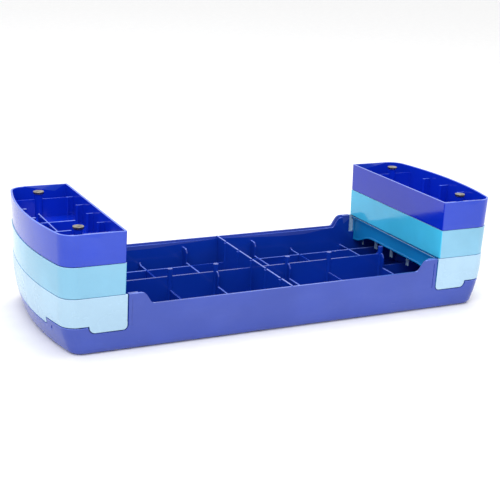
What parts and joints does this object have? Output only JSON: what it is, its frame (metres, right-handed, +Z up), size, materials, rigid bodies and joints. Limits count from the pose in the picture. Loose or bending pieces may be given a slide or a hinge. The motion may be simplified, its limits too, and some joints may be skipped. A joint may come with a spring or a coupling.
{
  "type": "stackable divided desk organizer",
  "caption": "Long divided base tray with a riser and two lift-off stacking trays at each end, held by magnets on posts; a slotted divider insert sits in one top tray.",
  "frame": {"origin": "centre of the base's underside, where the organiser stands on a table", "axes": "+X along the length, +Y from the front side to the back side, +Z up"},
  "size_m": [0.5258, 0.2, 0.1259],
  "materials": {
    "base_plastic": "smooth moulded, deep blue",
    "riser_plastic": "smooth moulded, pale blue",
    "middle_tray_plastic": "smooth moulded, light blue",
    "top_tray_plastic": "smooth moulded, bright royal blue",
    "insert_plastic": "smooth moulded, bright royal blue",
    "magnet": "plated, slightly dull",
    "keeper": "bare sheet steel"
  },
  "bodies": {
    "base": {"base_tray": "base_plastic"},
    "left_riser_body": {"left_riser": "riser_plastic", "left_riser_magnets": "magnet"},
    "right_riser_body": {"right_riser": "riser_plastic", "right_riser_magnets": "magnet"},
    "left_middle_body": {"left_middle_tray": "middle_tray_plastic", "left_middle_tray_magnets": "magnet", "left_middle_tray_keepers": "keeper"},
    "right_middle_body": {"right_middle_tray": "middle_tray_plastic", "right_middle_tray_magnets": "magnet", "right_middle_tray_keepers": "keeper"},
    "left_top_body": {"left_top_tray": "top_tray_plastic", "left_top_tray_magnets": "magnet", "left_top_tray_keepers": "keeper"},
    "right_top_body": {"right_top_tray": "top_tray_plastic", "right_top_tray_magnets": "magnet", "right_top_tray_keepers": "keeper"},
    "insert_body": {"insert_long_plate": "insert_plastic", "insert_cross_plate": "insert_plastic", "insert_end_plate": "insert_plastic"}
  },
  "joints": [
    {"name": "left_riser_lift", "type": "slide", "parent": "base", "child": "left_riser_body", "axis": [0, 0, 1], "range_m": [0, 0.045]},
    {"name": "right_riser_lift", "type": "slide", "parent": "base", "child": "right_riser_body", "axis": [0, 0, 1], "range_m": [0, 0.045]},
    {"name": "left_middle_tray_lift", "type": "slide", "parent": "left_riser_body", "child": "left_middle_body", "axis": [0, 0, 1], "range_m": [0, 0.04]},
    {"name": "right_middle_tray_lift", "type": "slide", "parent": "right_riser_body", "child": "right_middle_body", "axis": [0, 0, 1], "range_m": [0, 0.04]},
    {"name": "left_top_tray_lift", "type": "slide", "parent": "left_middle_body", "child": "left_top_body", "axis": [0, 0, 1], "range_m": [0, 0.04]},
    {"name": "right_top_tray_lift", "type": "slide", "parent": "right_middle_body", "child": "right_top_body", "axis": [0, 0, 1], "range_m": [0, 0.04]},
    {"name": "insert_lift", "type": "slide", "parent": "left_top_body", "child": "insert_body", "axis": [0, 0, 1], "range_m": [0, 0.04]}
  ]
}
